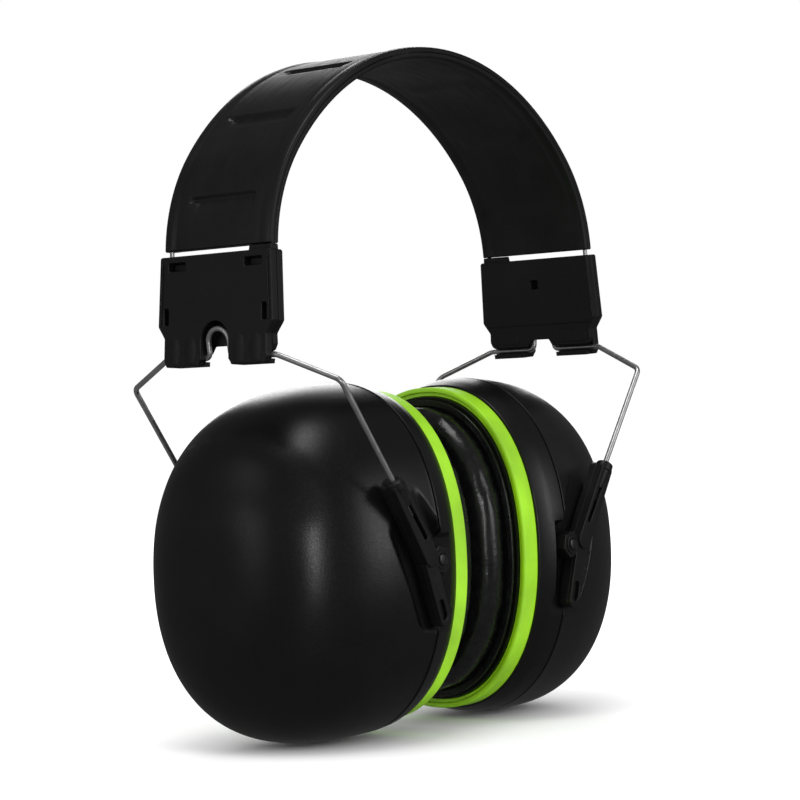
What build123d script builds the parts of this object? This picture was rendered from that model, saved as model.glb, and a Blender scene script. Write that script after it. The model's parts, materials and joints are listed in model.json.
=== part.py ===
"""Hearing-protection earmuffs: a sprung wire headband in a soft two-layer sleeve, and two deep cups.

Row frame: the origin is the middle of the head between the two ear cushions, +X goes out
through the right cup, -Y is the front and +Z goes up to the crown. Millimetres throughout.
Each side is built once for +X and mirrored for the left side.
"""

import os
from math import cos, radians, sin

from build123d import *

# ---- headband ----
BAND_WIDTH = 44.0           # sleeve width, front to rear
LAYER = 1.6                 # thickness of one sleeve layer
BAND_TOP = 155.0            # height of the sleeve's middle surface at the crown
CROWN_TURN = 52             # half the angle of the crown arc, degrees
BAND_WIRE_R = 0.7
BAND_WIRE_Y = 20.4          # each spring wire's distance from the centre line
WIRE_GRIP = 10.0            # length of spring wire held inside a terminal
SLEEVE_GAP = 1.7            # bare wire between sleeve and terminal
RIB_COUNT = 7
RIB_PITCH = 30.5            # spacing of the moulded recesses along the arch
RIB_SIZE = (27.0, 2.6, 0.8)  # length, width and depth of a recess

# ---- terminals ----
HINGE_X, HINGE_Z = 77.8, 62.6    # yoke hinge axis, parallel to Y
LEAN = 3.6                  # degrees, the foot of a terminal stands further out than its top
OUTER_PLATE = 2.8
INNER_PLATE = 2.6
TERMINAL_TOP = 30.6         # above the hinge axis, along the plate
FOOT_DROP = 2.4             # feet reach this far below the hinge axis
TOP_HALF, WIDE_HALF, WAIST_HALF = 22.6, 23.5, 20.9
WIDE_AT, WAIST_AT = 9.8, 6.2
NOTCH_HALF, NOTCH_TOP = 5.6, 10.7
INNER_BOTTOM = 1.2          # lower edge of the inner plate, above the hinge axis
ARCH_POCKET = 1.95          # depth of the recess that takes the wire arch at full swing
WINDOW = (7.0, 2.5)
WINDOW_AT = (15.6, 27.4)
SIDE_SLOT = (1.8, 5.0)
SIDE_SLOT_AT = (20.1, 12.6)
FOOT_TRIM = (1.0, 1.4)      # corner cut from the outer side of each foot
FOOT_SIDE = 1.2             # a foot is this much narrower than the legs of the plate
INNER_NOTCH = ((5.3, 0.0), (3.9, 3.4))   # lower and upper corner of the inner plate's notch
DIMPLE, DIMPLE_UP = 2.6, 22.0    # square dimple in the inner face
LEG_STEP_UP = 7.8           # the inner face steps back below this height
STEP_DEPTH = 0.5
SNAP_GAP = 0.3              # a snap tab is this much smaller than its window
TAB_DEPTH = 1.8

# ---- yoke wire ----
YOKE_R = 0.85
RUNNING = 0.08              # radial clearance of the wire in its grooves
ARCH_HALF, ARCH_TOP = 4.3, 8.6
ARCH_LEAN = 9.0             # degrees, the arch stands out from the plate's plane at rest
ARCH_FOOT_R, ARCH_TURN_R = 1.8, 4.2
YOKE_BEND_Y = 22.6
LEG_Y = 42.4                # both legs run parallel in planes of constant Y
LEG_SLOPE = 34.5            # degrees from vertical
ENTRY_X, ENTRY_Z = 52.1, 24.5    # where a leg enters its guide at rest
LEG_ABOVE = 36.3            # bare leg between guide and corner
LEG_INSIDE = 13.0           # leg held in the guide at rest
SLIDE_TRAVEL = 14.0
CORNER_R = 3.0

# ---- wire guides and pivot pins ----
PIVOT_X, PIVOT_Z = 32.0, 0.0
GUIDE_IN, GUIDE_OUT = 38.8, 44.2     # inner and outer faces, distance from the centre line
GUIDE_TOP_DROP = 2.6        # centre of the guide's round top, below the wire's entry
GUIDE_MID = (37.6, 1.1)
GUIDE_END = (31.6, -17.6)
GUIDE_TOP_R, GUIDE_MID_R, GUIDE_END_R = 2.7, 2.9, 2.4
GUIDE_ROOM = 0.8            # gap between a guide and the edge of its recess in the cup
LOBE_R = 4.4
LOBE_TURN = 15              # degrees
SIGHT_R, SIGHT_DEPTH = 0.6, 1.0  # shallow groove in a guide's outer face, over the wire
SIGHT_RUN = (5.5, 19.0)     # from and to these distances below the wire's entry
GUIDE_POCKET = (5.4, 2.4)
GUIDE_POCKET_AT = (32.6, -14.6)
GUIDE_POCKET_TURN, GUIDE_POCKET_DEPTH = 72, 1.2
WIRE_ROOM = 0.6             # free channel beyond the wire's end at full travel
COLLAR_R, COLLAR_LENGTH = 2.7, 3.5
PIN_R = 1.2
PIN_HEAD = (1.7, 0.5)
PIN_FLOAT = 0.1             # gap under the pin's head
PIN_EASE = 0.3              # edge of the head
UPSET_R, UPSET = 2.4, 1.0   # flattened inner end of the pin
SWING = 14.0                # degrees that a yoke swings and its guides turn on the cup

# ---- cups ----
RIM_X, SEAM_X, WIDE_X, END_X = 20.4, 31.0, 31.0, 82.2
RIM_HALF = (38.8, 51.8)
CUP_HALF = (42.4, 54.0)
OVAL = 2.2                  # exponent of the oval, 2 is an ellipse
DOME = 3.1                  # exponent of the dome along X
END_DROP = 0.07             # the dome's centre line falls this much per millimetre outwards
END_SHIFT = 0.12            # and moves this much rearwards
WALL = 2.6
POCKET_FLOOR = 38.4         # flat floor of the guide recess, distance from the centre line
RING_X = 14.0
RING_HALF = (38.2, 51.3)
RING_WALL = 2.8
PLATE = 2.4
PLATE_HOLE = (15.5, 25.0)
CUSHION_FACE = 1.6
CUSHION_BACK = 12.8
CUSHION_HALF = (34.0, 46.5)
CUSHION_HOLE = (16.5, 27.0)
COVER_SKIN = 1.2
CUSHION_ROUND = 4.6
FIT = 0.1                   # gap round the cushion plate's skirt and round the cushion foam
SKIRT_WALL, SKIRT_DEPTH = 1.6, 7.0
SEAM_WIDTH, SEAM_DEPTH = 0.6, 0.8
FACE_ROUND = 0.8            # rounding of the ring's edge on the ear side
PAD_ROOM = 2.4              # extra room round the damping foam beside the recess walls
PAD_GAP = 0.5
DOME_ANGLES = (0, 16, 32, 47, 60, 71, 80)
PAD_ANGLES = (26, 38, 50, 62, 72)
CLEAR = 10                  # how far a cutting tool reaches past the surface it cuts

os.makedirs("parts", exist_ok=True)


def save(name, part):
    """Label one finished piece and write it."""
    part.label = name
    export_step(part, f"parts/{name}.step")


def save_pair(name, part):
    """Write a right-hand piece and its mirror image."""
    with BuildPart() as twin:
        mirror(part, about=Plane.YZ)
    save(f"right_{name}", part)
    save(f"left_{name}", twin.part)


def save_front_and_rear(name, part):
    """Write the front piece of both sides, then the rear ones."""
    with BuildPart() as rear:
        mirror(part, about=Plane.XZ)
    save_pair(f"{name}_front", part)
    save_pair(f"{name}_rear", rear.part)


# ---- the arch: a crown arc and two tangent side arcs ----
lean = radians(LEAN)
turn = radians(CROWN_TURN)
end_x = HINGE_X - (TERMINAL_TOP + SLEEVE_GAP) * sin(lean)
end_z = HINGE_Z + (TERMINAL_TOP + SLEEVE_GAP) * cos(lean)
drop = (cos(turn) - 1) / sin(turn)
SIDE_R = (end_z - BAND_TOP - drop * end_x) / (
    sin(lean) - cos(turn) - drop * (cos(lean) - sin(turn))
)
CROWN_R = (end_x - SIDE_R * (cos(lean) - sin(turn))) / sin(turn)
CROWN_CENTRE = (0, BAND_TOP - CROWN_R)
side_x = (CROWN_R - SIDE_R) * sin(turn)
side_z = CROWN_CENTRE[1] + (CROWN_R - SIDE_R) * cos(turn)


def arch_lines(offset):
    """Draw the arch at an offset from the sleeve's middle surface, in the XZ plane."""
    CenterArc((side_x, side_z), SIDE_R + offset, LEAN, 90 - CROWN_TURN - LEAN)
    CenterArc(CROWN_CENTRE, CROWN_R + offset, 90 - CROWN_TURN, 2 * CROWN_TURN)
    CenterArc((-side_x, side_z), SIDE_R + offset, 90 + CROWN_TURN, 90 - CROWN_TURN - LEAN)


def arch_end(offset, side):
    """End of the arch at an offset, on the right (1) or left (-1)."""
    reach = SIDE_R + offset
    return (side * (side_x + reach * cos(lean)), side_z + reach * sin(lean))


def arch_plane(distance):
    """Plane on the sleeve's outer face, a distance along the arch from the crown's top."""
    crown_half = CROWN_R * turn
    side = 1 if distance >= 0 else -1
    beyond = max(0, abs(distance) - crown_half) / SIDE_R
    angle = min(abs(distance), crown_half) / CROWN_R + beyond
    middle = (side_x, side_z) if beyond else CROWN_CENTRE
    reach = (SIDE_R if beyond else CROWN_R) + LAYER
    spot = (side * (middle[0] + reach * sin(angle)), 0, middle[1] + reach * cos(angle))
    return Plane(origin=spot, x_dir=(0, 1, 0), z_dir=(side * sin(angle), 0, cos(angle)))


# ---- headband spring wires, one along each long edge of the sleeve ----
def band_wire(y):
    """A spring wire from terminal to terminal at one distance from the centre line."""
    grip = TERMINAL_TOP - WIRE_GRIP
    foot_x = HINGE_X - grip * sin(lean)
    foot_z = HINGE_Z + grip * cos(lean)
    plane = Plane.XZ.offset(-y)
    with BuildPart() as wire:
        with BuildLine(plane):
            Line((foot_x, foot_z), arch_end(0, 1))
            arch_lines(0)
            Line(arch_end(0, -1), (-foot_x, foot_z))
        with BuildSketch(Plane(origin=(foot_x, y, foot_z), z_dir=(-sin(lean), 0, cos(lean)))):
            Circle(BAND_WIRE_R)
        sweep()
    return wire.part


wire_front = band_wire(-BAND_WIRE_Y)
wire_rear = band_wire(BAND_WIRE_Y)


# ---- sleeve layers, grooved for the wires ----
def sleeve_layer(inner, outer):
    """One layer of the sleeve between two offsets from its middle surface."""
    with BuildPart() as layer:
        with BuildSketch(Plane.XZ):
            with BuildLine():
                arch_lines(inner)
                arch_lines(outer)
                for side in (1, -1):
                    Line(arch_end(inner, side), arch_end(outer, side))
            make_face()
        extrude(amount=BAND_WIDTH / 2, both=True)
        add(wire_front, mode=Mode.SUBTRACT)
        add(wire_rear, mode=Mode.SUBTRACT)
    return layer.part


with BuildPart() as headband_outer_cover:
    add(sleeve_layer(0, LAYER))
    for number in range(RIB_COUNT):
        place = arch_plane((number - (RIB_COUNT - 1) / 2) * RIB_PITCH)
        with BuildSketch(place):
            SlotOverall(RIB_SIZE[0], RIB_SIZE[1])
        extrude(amount=-RIB_SIZE[2], mode=Mode.SUBTRACT)

with BuildPart() as headband_inner_lining:
    add(sleeve_layer(-LAYER, 0))

# ---- yoke wire: arch in the notch, hinge runs, sloping arms, parallel legs ----
slope = radians(LEG_SLOPE)
arch_angle = radians(ARCH_LEAN - LEAN)
leg_down = (-sin(slope), -cos(slope))


def on_leg(distance):
    """X and Z on a leg's centre line, a distance below the guide's entry."""
    return (ENTRY_X + distance * leg_down[0], ENTRY_Z + distance * leg_down[1])


def yoke_points(side):
    """Corners of half the yoke, from the leg's end to the arch's top."""
    leg_end = on_leg(LEG_INSIDE)
    corner = on_leg(-LEG_ABOVE)
    top = (HINGE_X + ARCH_TOP * sin(arch_angle), HINGE_Z + ARCH_TOP * cos(arch_angle))
    return [
        (leg_end[0], side * LEG_Y, leg_end[1]),
        (corner[0], side * LEG_Y, corner[1]),
        (HINGE_X, side * YOKE_BEND_Y, HINGE_Z),
        (HINGE_X, side * ARCH_HALF, HINGE_Z),
        (top[0], side * ARCH_HALF, top[1]),
    ]


bend_radii = [CORNER_R, CORNER_R, ARCH_FOOT_R, ARCH_TURN_R]

with BuildPart() as yoke_wire:
    with BuildLine() as yoke_path:
        FilletPolyline(
            *yoke_points(-1),
            *reversed(yoke_points(1)),
            radius=[*bend_radii, *reversed(bend_radii)],
        )
    with BuildSketch(Plane(origin=yoke_path.line @ 0, z_dir=yoke_path.line % 0)):
        Circle(YOKE_R)
    sweep()

# ---- terminal: outer plate with feet, inner plate with snap tabs ----
plate_plane = Plane(
    origin=(HINGE_X, 0, HINGE_Z), x_dir=(0, 1, 0), z_dir=(cos(lean), 0, sin(lean))
)


def plate_outline(bottom):
    """Outline of a terminal plate down to a given height."""
    half = [
        (TOP_HALF, TERMINAL_TOP),
        (WIDE_HALF, WIDE_AT),
        (WAIST_HALF, WAIST_AT),
        (WAIST_HALF, bottom + FOOT_TRIM[1]),
        (WAIST_HALF - FOOT_TRIM[0], bottom),
    ]
    Polyline(*half, *[(-p, q) for p, q in reversed(half)], close=True)


with BuildPart() as terminal_outer_plate:
    with BuildSketch(plate_plane):
        with BuildLine():
            plate_outline(-FOOT_DROP)
        make_face()
        with Locations((0, NOTCH_TOP - NOTCH_HALF)):
            Circle(NOTCH_HALF, mode=Mode.SUBTRACT)
        with Locations((0, (NOTCH_TOP - NOTCH_HALF - FOOT_DROP) / 2)):
            Rectangle(2 * NOTCH_HALF, NOTCH_TOP - NOTCH_HALF + FOOT_DROP, mode=Mode.SUBTRACT)
        for side in (1, -1):
            with Locations((side * WINDOW_AT[0], WINDOW_AT[1])):
                Rectangle(*WINDOW, mode=Mode.SUBTRACT)
            with Locations((side * SIDE_SLOT_AT[0], SIDE_SLOT_AT[1])):
                Rectangle(*SIDE_SLOT, mode=Mode.SUBTRACT)
    extrude(amount=OUTER_PLATE)
    with BuildSketch(plate_plane.offset(-INNER_PLATE)):
        for side in (1, -1):
            with Locations((side * (WAIST_HALF + NOTCH_HALF) / 2, (INNER_BOTTOM - FOOT_DROP) / 2)):
                Rectangle(WAIST_HALF - NOTCH_HALF - FOOT_SIDE, FOOT_DROP + INNER_BOTTOM)
    extrude(amount=INNER_PLATE)
    with BuildSketch(plate_plane.offset(-INNER_PLATE)):
        Rectangle(3 * WAIST_HALF, 2 * (YOKE_R + RUNNING))
    extrude(amount=INNER_PLATE, mode=Mode.SUBTRACT)
    with BuildSketch(Plane.XZ):
        with Locations((HINGE_X, HINGE_Z)):
            Circle(YOKE_R + RUNNING)
    extrude(amount=2 * WAIST_HALF, both=True, mode=Mode.SUBTRACT)
    add(wire_front, mode=Mode.SUBTRACT)
    add(wire_rear, mode=Mode.SUBTRACT)

with BuildPart() as terminal_inner_plate:
    with BuildSketch(plate_plane):
        with BuildLine():
            plate_outline(INNER_BOTTOM)
        make_face()
        with BuildLine():
            notch = [*INNER_NOTCH, *[(-p, q) for p, q in reversed(INNER_NOTCH)]]
            Polyline(*notch, close=True)
        make_face(mode=Mode.SUBTRACT)
    extrude(amount=-INNER_PLATE)
    with BuildSketch(plate_plane):
        for side in (1, -1):
            with Locations((side * WINDOW_AT[0], WINDOW_AT[1])):
                Rectangle(WINDOW[0] - SNAP_GAP, WINDOW[1] - SNAP_GAP)
    extrude(amount=TAB_DEPTH)
    with BuildSketch(plate_plane):
        with Locations((0, NOTCH_TOP / 2)):
            Rectangle(2 * NOTCH_HALF, NOTCH_TOP)
    extrude(amount=-ARCH_POCKET, mode=Mode.SUBTRACT)
    with BuildSketch(plate_plane.offset(-INNER_PLATE)):
        with Locations((0, DIMPLE_UP)):
            Rectangle(DIMPLE, DIMPLE)
        with Locations((0, LEG_STEP_UP / 2)):
            Rectangle(3 * WAIST_HALF, LEG_STEP_UP)
    extrude(amount=STEP_DEPTH, mode=Mode.SUBTRACT)
    with BuildSketch(Plane.XZ):
        with Locations((HINGE_X, HINGE_Z)):
            Circle(YOKE_R + RUNNING)
    extrude(amount=2 * WAIST_HALF, both=True, mode=Mode.SUBTRACT)
    add(wire_front, mode=Mode.SUBTRACT)
    add(wire_rear, mode=Mode.SUBTRACT)


# ---- cup body ----
def oval(half, grow=0.0):
    """A closed oval about the sketch's origin: half width along Y, half height along Z."""
    count = 28
    points = []
    for number in range(count):
        angle = radians(360 * number / count)
        c, s = cos(angle), sin(angle)
        across = (half[0] + grow) * abs(c) ** (2 / OVAL) * (1 if c >= 0 else -1)
        up = (half[1] + grow) * abs(s) ** (2 / OVAL) * (1 if s >= 0 else -1)
        points.append((across, up))
    with BuildSketch() as shape:
        with BuildLine():
            Spline(*points, periodic=True)
        make_face()
    return shape.sketch


def oval_plane(x, centre=(0, 0)):
    """Plane across the cup at a distance from the middle of the head, about a centre (Y, Z)."""
    return Plane(origin=(x, *centre), x_dir=(0, 1, 0), z_dir=(1, 0, 0))


def dome_section(angle, inset):
    """Distance, half sizes and centre (Y, Z) of the dome's section at an angle of 0 to 90."""
    reach = END_X - WIDE_X - inset
    x = WIDE_X + reach * sin(radians(angle)) ** (2 / DOME)
    shrink = cos(radians(angle)) ** (2 / DOME)
    half = ((CUP_HALF[0] - inset) * shrink, (CUP_HALF[1] - inset) * shrink)
    return x, half, (END_SHIFT * (x - WIDE_X), -END_DROP * (x - WIDE_X))


def cup_solid(inset, start_x):
    """The cup's outer form, or its hollow at an inset, from a rim plane to the dome's end."""
    with BuildPart() as form:
        for x, share in ((start_x, 0.0), ((start_x + WIDE_X) / 2, 0.75)):
            half = [
                rim + share * (wide - rim) - inset for rim, wide in zip(RIM_HALF, CUP_HALF)
            ]
            with BuildSketch(oval_plane(x)):
                add(oval(half))
        for angle in DOME_ANGLES:
            x, half, centre = dome_section(angle, inset)
            with BuildSketch(oval_plane(x, centre)):
                add(oval(half))
        loft()
    return form.part


cup_outer = cup_solid(0, RIM_X)
cup_hollow = cup_solid(WALL, RIM_X - 0.01)


def guide_hull(turned, extra):
    """Circles along the guide's middle line, turned about its pivot, for a hull."""
    back = radians(turned)
    spots = (
        (ENTRY_X, ENTRY_Z, GUIDE_TOP_R),
        (GUIDE_MID[0], GUIDE_MID[1], GUIDE_MID_R),
        (GUIDE_END[0], GUIDE_END[1], GUIDE_END_R),
    )
    for x, z, radius in spots:
        dx, dz = x - PIVOT_X, z - PIVOT_Z
        turned_x = PIVOT_X + dx * cos(back) - dz * sin(back)
        turned_z = PIVOT_Z + dx * sin(back) + dz * cos(back)
        with Locations((turned_x, turned_z)):
            Circle(radius + extra)


def recess(margin, floor, height):
    """Fan-shaped blocks that the guides sweep at the front and rear of the cup."""
    with BuildPart() as block:
        with BuildSketch(Plane.XZ.offset(floor)):
            for turned in (0, SWING):
                guide_hull(turned, margin)
            with Locations((PIVOT_X, PIVOT_Z)):
                Circle(LOBE_R + margin)
            make_hull()
        extrude(amount=height)
        mirror(about=Plane.XZ)
    return block.part


with BuildPart() as pads:
    add(recess(GUIDE_ROOM + WALL, POCKET_FLOOR - WALL, WALL))
    add(cup_outer, mode=Mode.INTERSECT)

with BuildPart() as cup_body:
    add(cup_outer)
    add(cup_hollow, mode=Mode.SUBTRACT)
    add(pads.part)
    add(recess(GUIDE_ROOM, POCKET_FLOOR, CLEAR), mode=Mode.SUBTRACT)
    with BuildSketch(Plane.XZ):
        with Locations((PIVOT_X, PIVOT_Z)):
            Circle(PIN_R)
    extrude(amount=GUIDE_OUT, both=True, mode=Mode.SUBTRACT)

with BuildPart() as cup_shell:
    add(cup_body.part)
    split(bisect_by=Plane.YZ.offset(SEAM_X), keep=Keep.TOP)

with BuildPart() as cup_rim_section:
    add(cup_body.part)
    split(bisect_by=Plane.YZ.offset(SEAM_X), keep=Keep.BOTTOM)
    with BuildSketch(oval_plane(SEAM_X - SEAM_WIDTH)):
        add(oval(CUP_HALF, 2))
        add(oval(CUP_HALF, -SEAM_DEPTH), mode=Mode.SUBTRACT)
    extrude(amount=SEAM_WIDTH, mode=Mode.SUBTRACT)

# ---- accent ring ----
with BuildPart() as accent_ring:
    with BuildSketch(oval_plane(RING_X)):
        add(oval(RING_HALF))
        add(oval(RING_HALF, -RING_WALL), mode=Mode.SUBTRACT)
    extrude(amount=RIM_X - RING_X)
    fillet(accent_ring.faces().sort_by(Axis.X)[0].outer_wire().edges(), FACE_ROUND)

# ---- cushion plate: a flat frame with a skirt that snaps into the ring and the rim ----
with BuildPart() as cushion_plate:
    with BuildSketch(oval_plane(CUSHION_BACK)):
        add(oval(RING_HALF, -RING_WALL - FIT))
        add(oval(PLATE_HOLE), mode=Mode.SUBTRACT)
    extrude(amount=PLATE)
    with BuildSketch(oval_plane(CUSHION_BACK + PLATE)):
        add(oval(RING_HALF, -RING_WALL - FIT))
        add(oval(RING_HALF, -RING_WALL - FIT - SKIRT_WALL), mode=Mode.SUBTRACT)
    extrude(amount=SKIRT_DEPTH)

# ---- ear cushion: leatherette cover, open at the back, round a foam core ----
def cushion_form(inset, back, rounding):
    """Oval ring of the cushion at an inset, from its face to a back plane."""
    with BuildPart() as form:
        with BuildSketch(oval_plane(CUSHION_FACE + inset)):
            add(oval(CUSHION_HALF, -inset))
            add(oval(CUSHION_HOLE, inset), mode=Mode.SUBTRACT)
        extrude(amount=back - CUSHION_FACE - inset)
        fillet(form.faces().sort_by(Axis.X)[0].edges(), rounding)
    return form.part


cushion_foam = cushion_form(COVER_SKIN + FIT, CUSHION_BACK, CUSHION_ROUND - COVER_SKIN)

with BuildPart() as ear_cushion_cover:
    add(cushion_form(0, CUSHION_BACK, CUSHION_ROUND))
    add(
        cushion_form(COVER_SKIN, CUSHION_BACK + CLEAR, CUSHION_ROUND - COVER_SKIN),
        mode=Mode.SUBTRACT,
    )

# ---- damping foam, filling the deep end of the dome ----
with BuildPart() as damping_foam:
    for angle in PAD_ANGLES:
        x, half, centre = dome_section(angle, WALL + PAD_GAP)
        with BuildSketch(oval_plane(x, centre)):
            add(oval(half, -PAD_ROOM if angle < PAD_ANGLES[2] else 0))
    loft()

# ---- wire guide: tapered bar, collar, hexagonal lobe, wire channel and pivot bore ----
wire_entry = Plane(
    origin=(ENTRY_X, -LEG_Y, ENTRY_Z), z_dir=(leg_down[0], 0, leg_down[1])
)

with BuildPart() as wire_guide:
    with BuildSketch(Plane.XZ.offset(GUIDE_IN)):
        with Locations(on_leg(GUIDE_TOP_DROP)):
            Circle(GUIDE_TOP_R)
        with Locations(GUIDE_MID):
            Circle(GUIDE_MID_R)
        make_hull()
    extrude(amount=GUIDE_OUT - GUIDE_IN)
    with BuildSketch(Plane.XZ.offset(GUIDE_IN)):
        with Locations(GUIDE_MID):
            Circle(GUIDE_MID_R)
        with Locations(GUIDE_END):
            Circle(GUIDE_END_R)
        make_hull()
    extrude(amount=GUIDE_OUT - GUIDE_IN)
    with BuildSketch(Plane.XZ.offset(GUIDE_IN)):
        with Locations((PIVOT_X, PIVOT_Z)):
            RegularPolygon(LOBE_R, 6, rotation=LOBE_TURN)
    extrude(amount=GUIDE_OUT - GUIDE_IN)
    with BuildSketch(wire_entry):
        Circle(COLLAR_R)
    extrude(amount=COLLAR_LENGTH)
    with BuildSketch(wire_entry.offset(-GUIDE_TOP_R)):
        Circle(YOKE_R + RUNNING)
    extrude(amount=GUIDE_TOP_R + LEG_INSIDE + SLIDE_TRAVEL + WIRE_ROOM, mode=Mode.SUBTRACT)
    with BuildSketch(Plane.XZ.offset(GUIDE_IN)):
        with Locations((PIVOT_X, PIVOT_Z)):
            Circle(PIN_R + RUNNING)
    extrude(amount=GUIDE_OUT - GUIDE_IN, mode=Mode.SUBTRACT)
    with BuildSketch(Plane.XZ.offset(GUIDE_OUT - SIGHT_DEPTH)):
        with Locations(*[on_leg(distance) for distance in SIGHT_RUN]):
            Circle(SIGHT_R)
        make_hull()
    extrude(amount=SIGHT_DEPTH, mode=Mode.SUBTRACT)
    with BuildSketch(Plane.XZ.offset(GUIDE_OUT - GUIDE_POCKET_DEPTH)):
        with Locations(GUIDE_POCKET_AT):
            SlotOverall(*GUIDE_POCKET, rotation=GUIDE_POCKET_TURN)
    extrude(amount=GUIDE_POCKET_DEPTH, mode=Mode.SUBTRACT)

# ---- pivot pin: head outside the guide, shank through it and the cup, upset end inside ----
with BuildPart() as guide_pin:
    with BuildSketch(Plane.XZ.offset(POCKET_FLOOR - WALL)):
        with Locations((PIVOT_X, PIVOT_Z)):
            Circle(PIN_R)
    extrude(amount=GUIDE_OUT + PIN_FLOAT - POCKET_FLOOR + WALL)
    with BuildSketch(Plane.XZ.offset(GUIDE_OUT + PIN_FLOAT)):
        with Locations((PIVOT_X, PIVOT_Z)):
            Circle(PIN_HEAD[0])
    extrude(amount=PIN_HEAD[1])
    fillet(guide_pin.faces().sort_by(Axis.Y)[0].edges(), PIN_EASE)
    with BuildSketch(Plane.XZ.offset(POCKET_FLOOR - WALL - UPSET)):
        with Locations((PIVOT_X, PIVOT_Z)):
            Circle(UPSET_R)
    extrude(amount=UPSET)

# ---- write every node ----
save("headband_wire_front", wire_front)
save("headband_wire_rear", wire_rear)
save("headband_outer_cover", headband_outer_cover.part)
save("headband_inner_lining", headband_inner_lining.part)
save_pair("terminal_outer_plate", terminal_outer_plate.part)
save_pair("terminal_inner_plate", terminal_inner_plate.part)
save_pair("yoke_wire", yoke_wire.part)
save_pair("cup_shell", cup_shell.part)
save_pair("cup_rim_section", cup_rim_section.part)
save_pair("accent_ring", accent_ring.part)
save_pair("cushion_plate", cushion_plate.part)
save_pair("ear_cushion_cover", ear_cushion_cover.part)
save_pair("ear_cushion_foam", cushion_foam)
save_pair("damping_foam", damping_foam.part)
save_front_and_rear("wire_guide", wire_guide.part)
save_front_and_rear("guide_pin", guide_pin.part)
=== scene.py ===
"""Hearing-protection earmuffs: the visible pieces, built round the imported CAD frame.

Shapes are written in millimetres in the row frame and turned into metres when a mesh is made.
Each side is made by the same function; side is 1 for the right (+X) and -1 for the left.
"""

import json

import bmesh
import bpy
import numpy as np
from math import cos, exp, pi, radians, sin
from mathutils import Matrix, Vector, noise
from mathutils.geometry import convex_hull_2d


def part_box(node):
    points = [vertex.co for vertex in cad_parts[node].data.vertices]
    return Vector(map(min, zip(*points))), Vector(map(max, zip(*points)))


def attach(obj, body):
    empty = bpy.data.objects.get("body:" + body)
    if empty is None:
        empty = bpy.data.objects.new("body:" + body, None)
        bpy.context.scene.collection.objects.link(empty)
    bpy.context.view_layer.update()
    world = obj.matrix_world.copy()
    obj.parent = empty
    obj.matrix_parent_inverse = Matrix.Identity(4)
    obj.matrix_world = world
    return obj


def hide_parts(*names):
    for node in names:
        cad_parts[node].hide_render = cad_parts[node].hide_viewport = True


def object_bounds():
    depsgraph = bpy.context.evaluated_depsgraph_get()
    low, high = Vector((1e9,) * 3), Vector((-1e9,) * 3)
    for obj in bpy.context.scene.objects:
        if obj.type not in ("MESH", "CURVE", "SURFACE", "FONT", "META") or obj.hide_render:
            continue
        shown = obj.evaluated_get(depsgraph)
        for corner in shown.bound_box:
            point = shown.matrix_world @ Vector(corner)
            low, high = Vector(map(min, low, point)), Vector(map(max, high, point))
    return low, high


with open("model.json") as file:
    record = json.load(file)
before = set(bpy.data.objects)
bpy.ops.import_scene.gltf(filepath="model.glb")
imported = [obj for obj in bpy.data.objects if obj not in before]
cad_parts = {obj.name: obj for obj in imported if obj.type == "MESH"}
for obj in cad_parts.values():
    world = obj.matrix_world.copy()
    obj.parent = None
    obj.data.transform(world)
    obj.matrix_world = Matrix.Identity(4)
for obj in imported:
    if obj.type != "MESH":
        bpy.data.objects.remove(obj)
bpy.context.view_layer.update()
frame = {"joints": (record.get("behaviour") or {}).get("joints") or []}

MM = 0.001


def box_mm(node):
    """A CAD node's box in millimetres, as two lists."""
    low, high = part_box(node)
    return [value / MM for value in low], [value / MM for value in high]


# ---- sizes read from the frame ----
ring_low, ring_high = box_mm("right_accent_ring")
shell_low, shell_high = box_mm("right_cup_shell")
plate_low, plate_high = box_mm("right_cushion_plate")
cushion_low, cushion_high = box_mm("right_ear_cushion_cover")
foam_low, _ = box_mm("right_damping_foam")
_, sleeve_high = box_mm("headband_outer_cover")

RING_X, RIM_X = ring_low[0], ring_high[0]
RING_HALF = (ring_high[1], ring_high[2])
SEAM_X = shell_low[0]
END_X = shell_high[0]
CUP_HALF = (-shell_low[1], shell_high[2])
CUSHION_FACE, CUSHION_BACK = cushion_low[0], cushion_high[0]
CUSHION_HALF = (cushion_high[1], cushion_high[2])
BAND_HALF = sleeve_high[1]
JOINTS = {joint["name"]: joint for joint in frame["joints"]}
HINGE_X, _, HINGE_Z = [value / MM for value in JOINTS["right_yoke_swing"]["pos_m"]]
PIVOT_X, _, PIVOT_Z = [value / MM for value in JOINTS["right_cup_tilt"]["pos_m"]]
SLIDE = JOINTS["right_height_slide"]["axis"]
SWING = radians(JOINTS["right_yoke_swing"]["range_deg"][1])

# ---- sizes of the cups ----
RIM_HALF = (38.8, 51.8)
WIDE_X = 31.0
OVAL = 2.2  # power of the oval's outline
DOME = 3.1  # power of the dome's side
END_DROP, END_SHIFT = 0.07, 0.12  # the dome's drift down and to the rear, per mm outwards
WALL = 2.6
HOLLOW_UP, HOLLOW_HALF, HOLLOW_DEPTH = 25, 7.0, 1.1  # the dome's shallow hollow
SEAM_ROUND = 0.4
SEAM_GROOVE, SEAM_DEEP = 0.6, 0.8
RING_WALL = 2.8
RING_LAND = 0.9
PLATE_HOLE = (15.5, 25.0)
CUSHION_HOLE = (16.5, 27.0)
CUSHION_ROUND = (4.2, 1.2, 1.2, 4.2)
INFLATE_FRAMES = 20
CUSHION_MIDDLE = 0.72  # the cushion ring's own middle line, as a share of its half sizes
POCKET_FLOOR = 38.4
POCKET_ROOM = 0.8
POCKET_SOFT = 0.55
SHELL_COUNT, LOOP_COUNT, SOFT_COUNT, FLANGE_COUNT = 320, 256, 120, 160

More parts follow.
